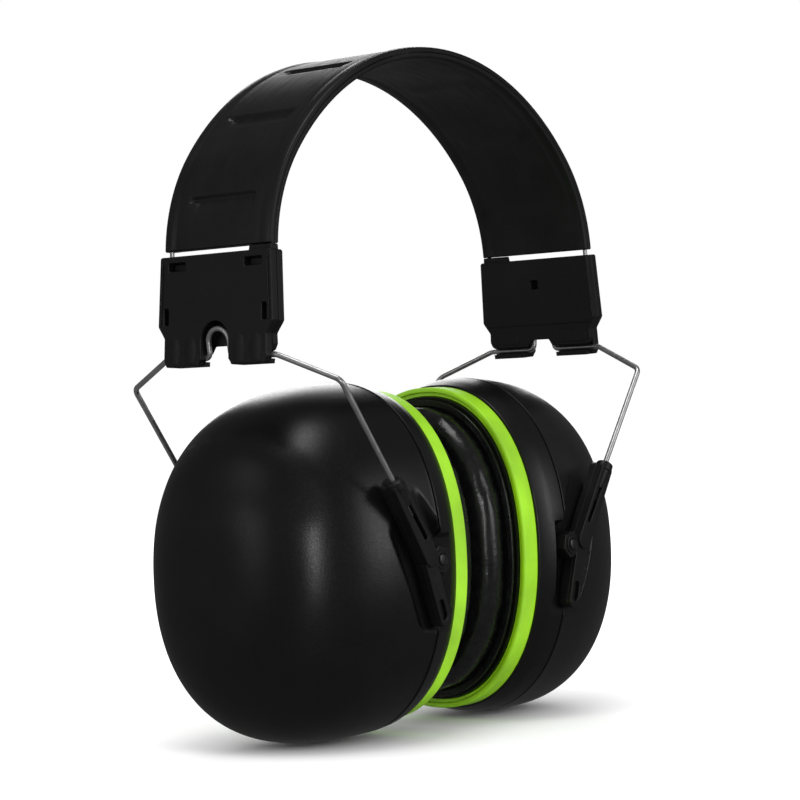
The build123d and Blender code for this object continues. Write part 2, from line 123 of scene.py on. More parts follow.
# ---- sizes of the guides and pins ----
GUIDE_IN, GUIDE_OUT = 38.8, 44.2
GUIDE_DEEP = GUIDE_OUT - GUIDE_IN
GUIDE_TOP, GUIDE_MID, GUIDE_END = (52.1, 24.5), (37.6, 1.1), (31.6, -17.6)
GUIDE_RADII = (2.7, 2.9, 2.4)
CHANNEL_DEEP, CHEEK, LAP = 2.8, 0.8, 0.02
GUIDE_LOW = GUIDE_DEEP - CHEEK
BORE_R = 0.97
LOBE_R, COLLAR_R, PIN_R = 4.4, 2.7, 1.2
LOBE_TURN = radians(15)

# ---- sizes of the headband, terminals and wires ----
LEAN = radians(3.6)
CROWN_TURN = radians(52)
LAYER = 1.6
LAYER_EDGES = [0.25, 0.25, 0.62, 0.62]
RIB_PITCH, RIB_COUNT, RIB_HALF, RIB_DEPTH = 30.5, 7, 13.2, 1.15
TERMINAL_TOP = 30.6
SLEEVE_GAP = 1.7
TOP_HALF, WIDE_HALF, WAIST_HALF = 22.6, 23.5, 20.9
FOOT_LOW, INNER_LOW = -2.4, 1.2
NOTCH_R = 5.6
WINDOW_AT, SIDE_SLOT_AT = (15.6, 27.4), (20.1, 12.6)
FLUTE = [  # height up the foot and share of the full width
    (FOOT_LOW, 0.72), (-2.3, 0.84), (-1.9, 0.95), (-1.2, 1.0),
    (3.0, 1.0), (5.4, 0.9), (7.6, 0.62), (9.2, 0.3),
]
YOKE_R, BAND_WIRE_R = 0.85, 0.7
BAND_WIRE_Y = 20.4
LEG_Y, LEG_INSIDE, LEG_ABOVE = 42.4, 13.0, 36.3
HINGE_HALF = 22.6
ARCH_HALF, ARCH_RISE = 4.3, 8.6
ARCH_LEAN = radians(9.0)


# ---- small geometry helpers ----
def new_object(name, data):
    """A new object in the scene."""
    made = bpy.data.objects.new(name, data)
    bpy.context.scene.collection.objects.link(made)
    return made


def smooth(low, high, value):
    """Smooth step from 0 at low to 1 at high."""
    t = np.clip((value - low) / (high - low), 0.0, 1.0)
    return t * t * (3 - 2 * t)


def oval_points(half, count, centre=(0.0, 0.0)):
    """Points of the cup's oval: an array of Y and Z."""
    angle = np.linspace(0, 2 * pi, count, endpoint=False)
    c, s = np.cos(angle), np.sin(angle)
    y = centre[0] + half[0] * np.sign(c) * np.abs(c) ** (2 / OVAL)
    z = centre[1] + half[1] * np.sign(s) * np.abs(s) ** (2 / OVAL)
    return np.stack([y, z], axis=1)


def make_piece(name, points, faces, body, slot, nodes, sharp):
    """A mesh object from points in millimetres, smooth-shaded, riding on a body."""
    mesh = bpy.data.meshes.new(name)
    mesh.from_pydata([tuple(float(v) * MM for v in p) for p in points], [], faces)
    mesh.validate()
    work = bmesh.new()
    work.from_mesh(mesh)
    bmesh.ops.recalc_face_normals(work, faces=work.faces)
    work.to_mesh(mesh)
    work.free()
    return finish_piece(name, mesh, body, slot, nodes, sharp)


def finish_piece(name, mesh, body, slot, nodes, sharp):
    """Shade a mesh, give it the material of its slot, tie it to its body and hide the CAD nodes it
    replaces.
    """
    mesh.shade_smooth()
    mesh.set_sharp_from_angle(angle=radians(sharp))
    mesh.materials.clear()
    mesh.materials.append(MATERIALS[slot])
    piece = new_object(name, mesh)
    weigh = piece.modifiers.new("flat faces", "WEIGHTED_NORMAL")
    weigh.keep_sharp = True
    bake_modifiers(piece)
    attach(piece, body)
    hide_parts(*nodes)
    return piece


def tube_faces(rings, count, closed):
    """Quads between rings of points; closed joins the last ring to the first one."""
    faces = []
    for ring in range(rings if closed else rings - 1):
        a = ring * count
        b = ((ring + 1) % rings) * count
        for k in range(count):
            nxt = (k + 1) % count
            faces.append((a + k, a + nxt, b + nxt, b + k))
    return faces


def capped_tube(points, count):
    """Points and faces of a tube of rings, each end closed by a fan onto its middle."""
    points = [tuple(p) for p in points]
    rings = len(points) // count
    faces = tube_faces(rings, count, False)
    for ring, last in ((0, False), (rings - 1, True)):
        base = ring * count
        points.append(tuple(np.mean(np.array(points[base:base + count]), axis=0)))
        tip = len(points) - 1
        for k in range(count):
            nxt = base + (k + 1) % count
            faces.append((base + k, tip, nxt) if last else (base + k, nxt, tip))
    return points, faces


def rounded(corners, radii, steps=5):
    """A closed 2-D outline with its corners rounded; radii is one number or one per corner."""
    count = len(corners)
    if not isinstance(radii, (list, tuple)):
        radii = [radii] * count
    outline = []
    for i, corner in enumerate(corners):
        here = np.array(corner, float)
        back = np.array(corners[i - 1], float) - here
        ahead = np.array(corners[(i + 1) % count], float) - here
        back_length, ahead_length = np.linalg.norm(back), np.linalg.norm(ahead)
        back, ahead = back / back_length, ahead / ahead_length
        half = np.arccos(np.clip(back @ ahead, -1, 1)) / 2
        if radii[i] <= 0 or half > radians(88):
            outline.append(tuple(here))
            continue
        trim = min(radii[i] / np.tan(half), 0.49 * back_length, 0.49 * ahead_length)
        radius = trim * np.tan(half)
        bisector = (back + ahead) / np.linalg.norm(back + ahead)
        centre = here + bisector * radius / np.sin(half)
        start, end = here + back * trim - centre, here + ahead * trim - centre
        for t in np.linspace(0, 1, steps + 1):
            ray = start * (1 - t) + end * t
            outline.append(tuple(centre + ray * radius / np.linalg.norm(ray)))
    return outline


def flip(outline, side):
    """An outline as drawn for side 1, and mirrored for side -1."""
    return [(side * across, up) for across, up in outline]


def plate_mesh(outer, holes, depth, edge):
    """A flat plate in its own X and Y, from Z 0 to depth, with holes and bevelled edges."""
    curve = bpy.data.curves.new("outline", "CURVE")
    curve.dimensions = "2D"
    curve.fill_mode = "BOTH"
    curve.extrude = depth / 2 - edge
    curve.bevel_depth = edge
    curve.bevel_resolution = 2
    curve.offset = -edge
    for index, loop in enumerate([outer, *holes]):
        area = sum(a[0] * b[1] - b[0] * a[1] for a, b in zip(loop, [*loop[1:], loop[0]]))
        wanted = 1 if index == 0 else -1
        ordered = loop if area * wanted > 0 else list(reversed(loop))
        spline = curve.splines.new("POLY")
        spline.points.add(len(ordered) - 1)
        for point, (x, y) in zip(spline.points, ordered):
            point.co = (x, y, 0, 1)
        spline.use_cyclic_u = True
    holder = new_object("outline", curve)
    bpy.context.view_layer.update()
    solid = bpy.data.meshes.new_from_object(
        holder.evaluated_get(bpy.context.evaluated_depsgraph_get())
    )
    bpy.data.objects.remove(holder)
    solid.transform(Matrix.Translation((0, 0, depth / 2)))
    return solid


class Build:
    """Gathers solids in millimetres into one mesh."""

    def __init__(self):
        self.work = bmesh.new()

    def add_mesh(self, mesh, matrix=None):
        """Add a mesh, moved by a matrix."""
        if matrix is not None:
            mesh.transform(matrix)
        self.work.from_mesh(mesh)
        bpy.data.meshes.remove(mesh)

    def add_points(self, points, faces):
        """Add points and faces."""
        mesh = bpy.data.meshes.new("part")
        mesh.from_pydata([tuple(map(float, p)) for p in points], [], faces)
        self.add_mesh(mesh)

    def piece(self, name, body, slot, nodes, sharp):
        """Turn what was gathered into a piece of the object."""
        bmesh.ops.remove_doubles(self.work, verts=self.work.verts, dist=0.002)
        bmesh.ops.recalc_face_normals(self.work, faces=self.work.faces)
        bmesh.ops.scale(self.work, vec=(MM, MM, MM), verts=self.work.verts)
        mesh = bpy.data.meshes.new(name)
        self.work.to_mesh(mesh)
        self.work.free()
        return finish_piece(name, mesh, body, slot, nodes, sharp)


def fillet_path(corners, radii, step=0.6):
    """A 3-D path through corners, with an arc of the given radius at each inner corner."""
    corners = [np.array(c, float) for c in corners]
    path = [corners[0]]
    for i, radius in enumerate(radii, start=1):
        here = corners[i]
        back = corners[i - 1] - here
        ahead = corners[i + 1] - here
        back, ahead = back / np.linalg.norm(back), ahead / np.linalg.norm(ahead)
        half = np.arccos(np.clip(back @ ahead, -1, 1)) / 2
        trim = radius / np.tan(half)
        bisector = (back + ahead) / np.linalg.norm(back + ahead)
        centre = here + bisector * radius / np.sin(half)
        start, end = here + back * trim - centre, here + ahead * trim - centre
        turn = pi - 2 * half
        count = max(3, int(turn * radius / step) + 2)
        for t in np.linspace(0, 1, count):
            ray = start * np.sin((1 - t) * turn) + end * np.sin(t * turn)
            path.append(centre + ray / np.sin(turn))
    path.append(corners[-1])
    return path


def tube(path, radius, count=20, dome=0.5):
    """Points and faces of a round bar along a path, with slightly domed ends."""
    path = [np.array(p, float) for p in path]
    ahead = [path[min(i + 1, len(path) - 1)] - path[max(i - 1, 0)] for i in range(len(path))]
    ahead = [v / np.linalg.norm(v) for v in ahead]
    side = np.cross(ahead[0], (0.0, 1.0, 0.0))
    if np.linalg.norm(side) < 0.1:
        side = np.cross(ahead[0], (1.0, 0.0, 0.0))
    stations = [
        (path[0] - ahead[0] * radius * dome, 0.55, ahead[0]),
        *zip(path, [1.0] * len(path), ahead),
        (path[-1] + ahead[-1] * radius * dome, 0.55, ahead[-1]),
    ]
    points = []
    for centre, share, along in stations:
        side = side - along * (side @ along)
        side = side / np.linalg.norm(side)
        other = np.cross(along, side)
        for k in range(count):
            angle = 2 * pi * k / count
            points.append(centre + radius * share * (side * cos(angle) + other * sin(angle)))
    return capped_tube(points, count)


def lathe(profile, centre, axis, count=32):
    """Points and faces of a turned solid: profile is (distance along the axis, radius)."""
    axis = np.array(axis, float) / np.linalg.norm(axis)
    side = np.cross(axis, (0.3, 0.2, 1.0))
    side = side / np.linalg.norm(side)
    other = np.cross(axis, side)
    points = []
    for along, radius in profile:
        for k in range(count):
            angle = 2 * pi * k / count
            ray = side * cos(angle) + other * sin(angle)
            points.append(np.array(centre) + axis * along + radius * ray)
    return capped_tube(points, count)


# ---- materials ----
BLACK = (0.0022, 0.0022, 0.0024)


class Shade:
    """A node material with a few short ways to add nodes."""

    def __init__(self, name):
        self.material = bpy.data.materials.new(name)
        self.material.use_nodes = True
        self.tree = self.material.node_tree
        self.shader = self.tree.nodes["Principled BSDF"]
        self.where = self.node("ShaderNodeTexCoord").outputs["Object"]

    def node(self, kind, **inputs):
        """A new node with some of its sockets set or linked."""
        made = self.tree.nodes.new(kind)
        for key, value in inputs.items():
            self.put(made.inputs[key.replace("_", " ")], value)
        return made

    def put(self, socket, value):
        """Set a socket, or link it if the value is another socket."""
        if isinstance(value, bpy.types.NodeSocket):
            self.tree.links.new(value, socket)
        else:
            socket.default_value = value

    def give(self, **inputs):
        """Set or link sockets of the surface shader itself, and return the material."""
        for key, value in inputs.items():
            self.put(self.shader.inputs[key.replace("_", " ")], value)
        return self.material

    def noise(self, scale, detail=3.0, stretch=None, distortion=0.0):
        """Noise over the object's own coordinates; scale is features per metre."""
        where = self.where
        if stretch:
            where = self.node("ShaderNodeMapping", Vector=where, Scale=stretch).outputs[0]
        return self.node(
            "ShaderNodeTexNoise", Vector=where, Scale=scale, Detail=detail, Distortion=distortion
        ).outputs[0]

    def cells(self, scale):
        """Voronoi distance over the object's own coordinates."""
        return self.node("ShaderNodeTexVoronoi", Vector=self.where, Scale=scale).outputs["Distance"]

    def between(self, value, low, high, from_low=0.3, from_high=0.7):
        """Map a value from one range to another."""
        return self.node(
            "ShaderNodeMapRange", Value=value,
            From_Min=from_low, From_Max=from_high, To_Min=low, To_Max=high,
        ).outputs[0]

    def math(self, operation, a, b):
        """One arithmetic node."""
        made = self.node("ShaderNodeMath")
        made.operation = operation
        self.put(made.inputs[0], a)
        self.put(made.inputs[1], b)
        return made.outputs[0]

    def mix(self, factor, a, b):
        """Mix two colours."""
        made = self.node("ShaderNodeMix")
        made.data_type = "RGBA"
        self.put(made.inputs[0], factor)
        self.put(made.inputs[6], a)
        self.put(made.inputs[7], b)
        return made.outputs[2]

    def bump(self, height, distance, strength=1.0, normal=None):
        """A bump of a given height in metres."""
        made = self.node("ShaderNodeBump", Height=height, Distance=distance, Strength=strength)
        if normal is not None:
            self.put(made.inputs["Normal"], normal)
        return made.outputs[0]

    def edges(self):
        """0 on flat surfaces, rising to 1 on worn outer edges."""
        return self.between(self.node("ShaderNodeNewGeometry").outputs["Pointiness"], 0, 1, 0.52, 0.6)


def tint(colour, share, lift=0.0):
    """A colour made darker or lighter, with its alpha."""
    return (*[c * share + lift for c in colour], 1)


def moulded(name, colour, roughness, grain=2200, depth=0.00003, wear=0.5):
    """Injection-moulded plastic: fine spark grain, faint flow mottling, handled edges."""
    shade = Shade(name)
    mottled = shade.mix(shade.between(shade.noise(55, 5), 0, 1), tint(colour, 0.8), tint(colour, 1.25))
    worn = shade.math("MULTIPLY", shade.edges(), shade.between(shade.noise(700, 4), 0, wear))
    wiped = shade.between(shade.noise(38, 6, (1.0, 1.0, 0.35), 0.6), -0.05, 0.06)
    fine = shade.between(shade.noise(grain * 0.5, 2), -0.03, 0.03)
    texture = shade.bump(shade.noise(grain, 2), depth, 0.8)
    return shade.give(
        Base_Color=shade.mix(worn, mottled, tint(colour, 1.5, 0.004)),
        Roughness=shade.math("ADD", shade.math("ADD", wiped, fine), roughness),
        Normal=shade.bump(shade.noise(45, 2), 0.00025, 0.35, texture),
    )


def elastomer(name, colour):
    """Soft sleeve of the headband: satin, with fine rubbed streaks along the arch."""
    shade = Shade(name)
    streaks = shade.noise(900, 3, (0.12, 1.0, 0.12))
    patches = shade.between(shade.noise(70, 5), 0, 1)
    wiped = shade.between(shade.noise(30, 5), -0.05, 0.05)
    skin = shade.bump(shade.noise(1500, 3), 0.00004, 0.6)
    return shade.give(
        Base_Color=shade.mix(patches, tint(colour, 0.75), tint(colour, 1.5)),
        Roughness=shade.math("ADD", shade.between(streaks, 0.36, 0.5), wiped),
        Normal=shade.bump(streaks, 0.00003, 0.4, skin),
    )


def leatherette(name):
    """Half-gloss cushion skin with a fine pebbled grain and tiny creases, with painted shade darkening
    the crease hollows.
    """
    shade = Shade(name)
    creases = shade.noise(260, 6, None, 1.4)
    # painted shade: the colour is darker in the crease hollows and lighter on the raised skin,
    # following the crease bump
    painted_hollow_shade, raised = (*BLACK, 1), (0.006, 0.006, 0.0063, 1)
    grain = shade.bump(shade.cells(1150), 0.00006, 0.55)
    return shade.give(
        Base_Color=shade.mix(shade.between(creases, 0, 1), painted_hollow_shade, raised),
        Roughness=shade.math("ADD", shade.between(shade.noise(120, 4), -0.05, 0.06), 0.27),
        Normal=shade.bump(creases, 0.00022, 0.4, grain),
        Coat_Weight=0.25,
        Coat_Roughness=0.22,
    )


def drawn_steel(name, roughness, brightness=1.0):
    """Drawn stainless wire: fine lengthwise drawing marks and slightly duller patches."""
    shade = Shade(name)
    dull, bright = [(*[level * brightness] * 3, 1) for level in (0.68, 0.86)]
    marks = shade.noise(1400, 3, (1.0, 1.0, 0.15))
    return shade.give(
        Base_Color=shade.mix(shade.between(shade.noise(220, 4), 0, 1), dull, bright),
        Roughness=shade.math("ADD", shade.between(marks, -0.07, 0.1), roughness),
        Normal=shade.bump(marks, 0.000003, 0.15),
        Metallic=1.0,
    )


def open_foam(name):
    """Open-cell foam: dark, matt, pitted with pores, with painted shade darkening the pits."""
    shade = Shade(name)
    pores = shade.cells(620)
    # painted shade: the pore pits are coloured darker than the cell walls, following the pore bump
    painted_hollow_shade, raised = (0.003, 0.003, 0.0035, 1), (0.02, 0.02, 0.021, 1)
    return shade.give(
        Base_Color=shade.mix(shade.between(pores, 0, 1, 0.1, 0.6), painted_hollow_shade, raised),
        Roughness=shade.between(shade.noise(400, 3), 0.88, 1.0),
        Normal=shade.bump(pores, 0.0008, 1.0),
    )


MATERIALS = {
    "satin_black": moulded("satin_black_shell", BLACK, 0.33),
    "hard_black": moulded("hard_black_plastic", BLACK, 0.45, 1500, 0.00004),
    "accent_green": moulded("accent_green_plastic", (0.255, 0.55, 0.004), 0.5, 1800, 0.00002, 0.1),
    "sleeve_black": elastomer("sleeve_elastomer", (0.0028, 0.0028, 0.003)),
    "leatherette": leatherette("cushion_leatherette"),
    "spring_steel": drawn_steel("drawn_spring_steel", 0.36),
    "pin_steel": drawn_steel("turned_pin_steel", 0.42, 0.13),
    "soft_foam": open_foam("damping_foam_open_cell"),
}


# ---- the cup's form ----
def outer_profile(inset, spacing):
    """Sections from the dome's pole to the rim plane: X, half sizes and distance past the rim."""
    shrink = np.concatenate([np.linspace(0.004, 0.9, 300), np.linspace(0.9, 1.0, 200)[1:]])
    reach = END_X - WIDE_X - inset
    x = WIDE_X + reach * (1 - shrink**DOME) ** (1 / DOME)
    half_y = (CUP_HALF[0] - inset) * shrink
    half_z = (CUP_HALF[1] - inset) * shrink
    rim_x = np.linspace(WIDE_X, RIM_X, 60)[1:]
    share = 1 - ((WIDE_X - rim_x) / (WIDE_X - RIM_X)) ** 2
    x = np.concatenate([x, rim_x])
    half_y = np.concatenate([half_y, RIM_HALF[0] - inset + share * (CUP_HALF[0] - RIM_HALF[0])])
    half_z = np.concatenate([half_z, RIM_HALF[1] - inset + share * (CUP_HALF[1] - RIM_HALF[1])])
    travel = np.concatenate([[0], np.cumsum(np.hypot(np.diff(x), np.diff(half_z)))])
    stops = np.linspace(0, travel[-1], int(travel[-1] / spacing))
    x, half_y, half_z = [np.interp(stops, travel, v) for v in (x, half_y, half_z)]
    return np.stack([x, half_y, half_z, np.maximum(0, x - WIDE_X)], axis=1)


def guide_fan(margin):
    """Convex outline, in X and Z, of all that the guide sweeps on its cup, plus a margin."""
    spots = []
    for turned in (0.0, SWING):
        for (x, z), radius in zip((GUIDE_TOP, GUIDE_MID, GUIDE_END), GUIDE_RADII):
            dx, dz = x - PIVOT_X, z - PIVOT_Z
            turned_x = PIVOT_X + dx * cos(turned) - dz * sin(turned)
            turned_z = PIVOT_Z + dx * sin(turned) + dz * cos(turned)
            spots.append((turned_x, turned_z, radius + margin))
    spots.append((PIVOT_X, PIVOT_Z, LOBE_R + margin))
    rim = [
        Vector((x + r * cos(a), z + r * sin(a)))
        for x, z, r in spots
        for a in np.linspace(0, 2 * pi, 24, endpoint=False)
    ]
    return np.array([tuple(rim[i]) for i in convex_hull_2d(rim)])


def inside_distance(outline, x, z):
    """How far points lie inside a convex outline, negative outside it."""
    nearest = np.full(x.shape, 1e9)
    centre = outline.mean(axis=0)
    for a, b in zip(outline, np.roll(outline, -1, axis=0)):
        along = (b - a) / max(np.linalg.norm(b - a), 1e-9)
        away = np.array([along[1], -along[0]])
        if away @ (centre - a) > 0:
            away = -away
        nearest = np.minimum(nearest, -((x - a[0]) * away[0] + (z - a[1]) * away[1]))
    return nearest


FAN = guide_fan(POCKET_ROOM)
WALL_FAN = guide_fan(POCKET_ROOM + WALL)


def press_recess(points, outline, floor, softness):
    """Press the flat floors of the guide recesses into the cup's front and rear."""
    depth = smooth(-softness, softness, inside_distance(outline, points[:, 0], points[:, 2]))
    flat = np.minimum(np.abs(points[:, 1]), floor)
    points[:, 1] = np.sign(points[:, 1]) * (np.abs(points[:, 1]) * (1 - depth) + flat * depth)
    return points


def shoulder(points):
    """Soft sculpting of the dome: a shallow hollow under a shoulder near its top."""
    x, y, z = points[:, 0], points[:, 1], points[:, 2]
    reach = smooth(WIDE_X + 12, END_X - 14, x)
    valley = np.exp(-(((z - HOLLOW_UP + 0.006 * y**2) / HOLLOW_HALF) ** 2))
    edge = 1 - smooth(20, 36, np.abs(y))
    points[:, 0] -= HOLLOW_DEPTH * reach * valley * edge
    return points


def sections_to_points(sections, count):
    """Points of all sections, as one array."""
    rings = []
    for x, half_y, half_z, out in sections:
        ring = oval_points((half_y, half_z), count, (END_SHIFT * out, -END_DROP * out))
        rings.append(np.column_stack([np.full(count, x), ring]))
    return np.concatenate(rings)


def mirrored(points, side):
    """Points for the right or left side."""
    points = np.array(points, float).copy()
    points[:, 0] *= side
    return points


def side_name(side):
    """The name of a side."""
    return "right" if side > 0 else "left"


def make_shell(side):
    """Deep outer shell of a cup, from the seam to the dome's end and back inside."""
    outer = outer_profile(0, 0.75)
    outer = outer[outer[:, 0] > SEAM_X + SEAM_ROUND]
    inner = outer_profile(WALL, 2.0)[::-1]
    inner = inner[inner[:, 0] > SEAM_X + 0.2]
    edge = outer[-1]
    lip = []
    for angle in np.linspace(0, pi / 2, 5):
        back, cut = SEAM_ROUND * sin(angle), SEAM_ROUND * (1 - cos(angle))
        lip.append((SEAM_X + SEAM_ROUND - back, edge[1] - cut, edge[2] - cut, 0.0))
    points = sections_to_points(np.concatenate([outer, np.array(lip), inner]), SHELL_COUNT)
    outside = (len(outer) + len(lip)) * SHELL_COUNT
    points[:outside] = shoulder(press_recess(points[:outside], FAN, POCKET_FLOOR, POCKET_SOFT))
    points[outside:] = press_recess(points[outside:], WALL_FAN, POCKET_FLOOR - WALL, 1.0)
    points, faces = capped_tube(mirrored(points, side), SHELL_COUNT)
    name = side_name(side)
    make_piece(
        f"{name}_shell", points, faces, f"{name}_cup", "satin_black", [f"{name}_cup_shell"], 50
    )


def loop_piece(name, loop, slot, node, side, count=LOOP_COUNT, press=None):
    """A closed section carried round the oval of a cup: loop is (X, half width, half height)."""
    points = sections_to_points([(*section, 0.0) for section in loop], count)
    if press:
        points = press(points)
    body = side_name(side)
    faces = tube_faces(len(loop), count, True)
    make_piece(
        f"{body}_{name}", mirrored(points, side), faces, f"{body}_cup", slot, [f"{body}_{node}"], 40
    )


def rim_half(x):
    """Half sizes of the rim section's outside at a distance from the head's middle."""
    share = 1 - ((WIDE_X - x) / (WIDE_X - RIM_X)) ** 2
    return [r + share * (c - r) for r, c in zip(RIM_HALF, CUP_HALF)]


def press_fan(points):
    """Press the guide recesses into points of the cup's outside."""
    return press_recess(points, FAN, POCKET_FLOOR, POCKET_SOFT)


def make_rim(side):
    """Rim section between the seam groove and the accent ring."""
    loop = rounded(
        [
            (RIM_X, 0.0), (RIM_X + 3, 0.0), (RIM_X + 5.5, 0.0), (SEAM_X - SEAM_GROOVE, 0.0),
            (SEAM_X - SEAM_GROOVE, SEAM_DEEP), (SEAM_X, SEAM_DEEP), (SEAM_X, WALL), (RIM_X, WALL),
        ],
        [0.4, 0, 0, 0.35, 0.1, 0.1, 0.2, 0.3], 4,
    )
    loop = [(x, rim_half(x)[0] - cut, rim_half(x)[1] - cut) for x, cut in loop]
    loop_piece("rim", loop, "satin_black", "cup_rim_section", side, press=press_fan)


def make_ring(side):
    """Bright accent ring, with eased edges and a narrow land on its ear side."""
    corners = [(RING_X, 0), (RIM_X, 0), (RIM_X, RING_WALL), (RING_X + RING_LAND, RING_WALL)]
    corners += [(RING_X + RING_LAND, 1.7), (RING_X, 1.5)]
    loop = rounded(corners, [0.8, 0.3, 0.2, 0.2, 0.3, 0.35], 4)
    loop = [(x, RING_HALF[0] - cut, RING_HALF[1] - cut) for x, cut in loop]
    loop_piece("ring", loop, "accent_green", "accent_ring", side)


def make_cushion_plate(side):
    """Plate that carries the cushion: a recessed channel, the flat frame and its snap skirt."""
    out = (plate_high[1], plate_high[2])
    face, back = plate_low[0], plate_high[0]
    from_out = [(1.4, 0.0), (1.0, 0.2), (1.0, 1.5), (0.1, 1.8)]
    past_hole = [(0.1, 0.5), (0.6, 0.0), (1.9, 0.0), (2.4, 0.5)]
    skirt = [(face + 2.4, 1.7), (back, 1.6), (back, 0.4), (back - 1.0, 0.0)]
    loop = [(face + x, out[0] - cut, out[1] - cut) for x, cut in from_out]
    loop += [(face + x, PLATE_HOLE[0] + gap, PLATE_HOLE[1] + gap) for x, gap in past_hole]
    loop += [(x, out[0] - cut, out[1] - cut) for x, cut in skirt]
    loop_piece("cushion_frame", loop, "hard_black", "cushion_plate", side, count=FLANGE_COUNT)


def make_damping_foam(side):
    """Block of open-cell foam in the deep end of the dome, with a soft uneven face."""
    sections = outer_profile(WALL + 0.6, 2.5)
    start = foam_low[0] + 1.0
    sections = sections[sections[:, 0] > start]
    last = sections[-1]
    face = [(start, last[1] * t, last[2] * t, last[3]) for t in np.linspace(0.97, 0.02, 16)]
    sections = np.concatenate([sections, np.array(face)])
    sections[:, 1] = np.maximum(sections[:, 1] - 2.4, 0.2)
    points = sections_to_points(sections, SOFT_COUNT)
    for point in points:
        lump = noise.noise(Vector(tuple(point * 0.16)))
        point[0] += 0.8 * lump * (1 if point[0] < foam_low[0] + 3 else 0.2)
    points, faces = capped_tube(mirrored(points, side), SOFT_COUNT)
    name = side_name(side)
    piece = make_piece(
        f"{name}_damping_pad", points, faces, f"{name}_cup", "soft_foam", [f"{name}_damping_foam"], 60
    )


def make_cushion(side):
    """Leatherette ear cushion: an oval ring blown up by cloth simulation, with welded flanges."""
    name = side_name(side)
    out, hole = CUSHION_HALF, CUSHION_HOLE
    front, back = CUSHION_FACE + 0.9, CUSHION_BACK - 0.7
    slim, width = 1.0, out[0] - hole[0]
    corners = [(front, slim), (back, slim), (back, width - slim), (front, width - slim)]
    sections = []
    for x, cut in rounded(corners, CUSHION_ROUND, 6):
        t = cut / width
        sections.append((x, *[a + (b - a) * t for a, b in zip(out, hole)], 0.0))
    points = sections_to_points(sections, SOFT_COUNT)
    faces = tube_faces(len(sections), SOFT_COUNT, True)
    mesh = bpy.data.meshes.new("cushion")
    mesh.from_pydata([tuple(p * MM) for p in points], [], faces)
    piece = new_object("cushion", mesh)
    inflate(piece, 0.0028, 2.2, 0.0016, back)
    subdivide(piece, 1)
    shape_cushion(piece, side, front)
    mesh = piece.data
    bpy.data.objects.remove(piece)
    mesh.transform(Matrix.Scale(1 / MM, 4))
    work = Build()
    work.add_mesh(mesh)
    work.add_points(*flange(out, 0.9, 1.2, side))
    work.add_points(*flange(hole, -0.9, -1.2, side))
    done = work.piece(
        f"{name}_ear_cushion", f"{name}_cup", "leatherette",
        [f"{name}_ear_cushion_cover", f"{name}_ear_cushion_foam"], 60,
    )


def flange(half, flare, under, side):
    """Thin welded edge of the cushion's skin, lying on the cushion plate."""
    low, high = CUSHION_BACK - 1.0, CUSHION_BACK
    inner, outer = half[0] - under, half[0] + flare
    loop = rounded([(low, inner), (low, outer), (high, outer), (high, inner)], 0.3, 3)
    sections = [(x, across, across + half[1] - half[0], 0.0) for x, across in loop]
    points = mirrored(sections_to_points(sections, FLANGE_COUNT), side)
    return list(points), tube_faces(len(sections), FLANGE_COUNT, True)


def inflate(piece, voxel, pressure, cap, back):
    """Blow up a closed soft form by cloth simulation, holding its back edges in place."""
    scene = bpy.context.scene
    remesh = piece.modifiers.new("remesh", "REMESH")
    remesh.mode = "VOXEL"
    remesh.voxel_size = voxel
    bake_modifiers(piece)
    start = np.array([v.co[:] for v in piece.data.vertices])
    held = piece.vertex_groups.new(name="held")
    held.add([k for k, place in enumerate(start) if place[0] > (back - 1.2) * MM], 1.0, "REPLACE")
    cloth = piece.modifiers.new("cloth", "CLOTH")
    settings = cloth.settings
    settings.quality = 6
    settings.mass = 0.15
    settings.tension_stiffness = 12
    settings.compression_stiffness = 12
    settings.bending_stiffness = 0.4
    settings.use_pressure = True
    settings.uniform_pressure_force = pressure
    settings.vertex_group_mass = "held"
    settings.effector_weights.gravity = 0
    cloth.point_cache.frame_start = 1
    cloth.point_cache.frame_end = INFLATE_FRAMES
    for step in range(1, INFLATE_FRAMES + 1):
        scene.frame_set(step)
    bake_modifiers(piece)
    scene.frame_set(1)
    moved = np.array([v.co[:] for v in piece.data.vertices]) - start
    length = np.linalg.norm(moved, axis=1, keepdims=True)
    moved *= np.minimum(1, cap / np.maximum(length, 1e-9))
    for vertex, place in zip(piece.data.vertices, start + moved):
        vertex.co = place


def bake_modifiers(piece):
    """Replace a piece's mesh by what its modifiers make of it."""
    bpy.context.view_layer.update()
    seen = piece.evaluated_get(bpy.context.evaluated_depsgraph_get())
    mesh = bpy.data.meshes.new_from_object(seen)
    piece.modifiers.clear()
    piece.data = mesh


def subdivide(piece, levels):
    """Smooth a piece's mesh by subdivision."""
    smoothing = piece.modifiers.new("subdivide", "SUBSURF")
    smoothing.levels = levels
    smoothing.render_levels = levels
    bake_modifiers(piece)


def shape_cushion(piece, side, front):
    """Press the cushion's face level, pucker the skin beside its seams, and set its side."""
    for vertex in piece.data.vertices:
        x, y, z = [value / MM for value in vertex.co]
        angle = np.arctan2(z / CUSHION_HALF[1], y / CUSHION_HALF[0])
        middle = np.hypot(y / CUSHION_HALF[0], z / CUSHION_HALF[1])
        pucker = noise.noise(Vector((9 * cos(angle), 9 * sin(angle), side * 3.0)))
        fine = noise.noise(Vector((24 * cos(angle), 24 * sin(angle), side * 5.0 + middle)))
        near_seam = smooth(front + 3.0, CUSHION_BACK, x)
        away = 0.35 * pucker + 0.3 * fine * near_seam
        wave = 0.3 * noise.noise(Vector((5 * cos(angle), 5 * sin(angle), side * 7.0)))
        push = (middle - CUSHION_MIDDLE) / abs(middle - CUSHION_MIDDLE + 1e-6)
        y *= 1 + push * away * 0.012
        z *= 1 + push * away * 0.009
        x = max(x + wave * (1 - near_seam), CUSHION_FACE + 0.05)
        vertex.co = (side * x * MM, y * MM, z * MM)


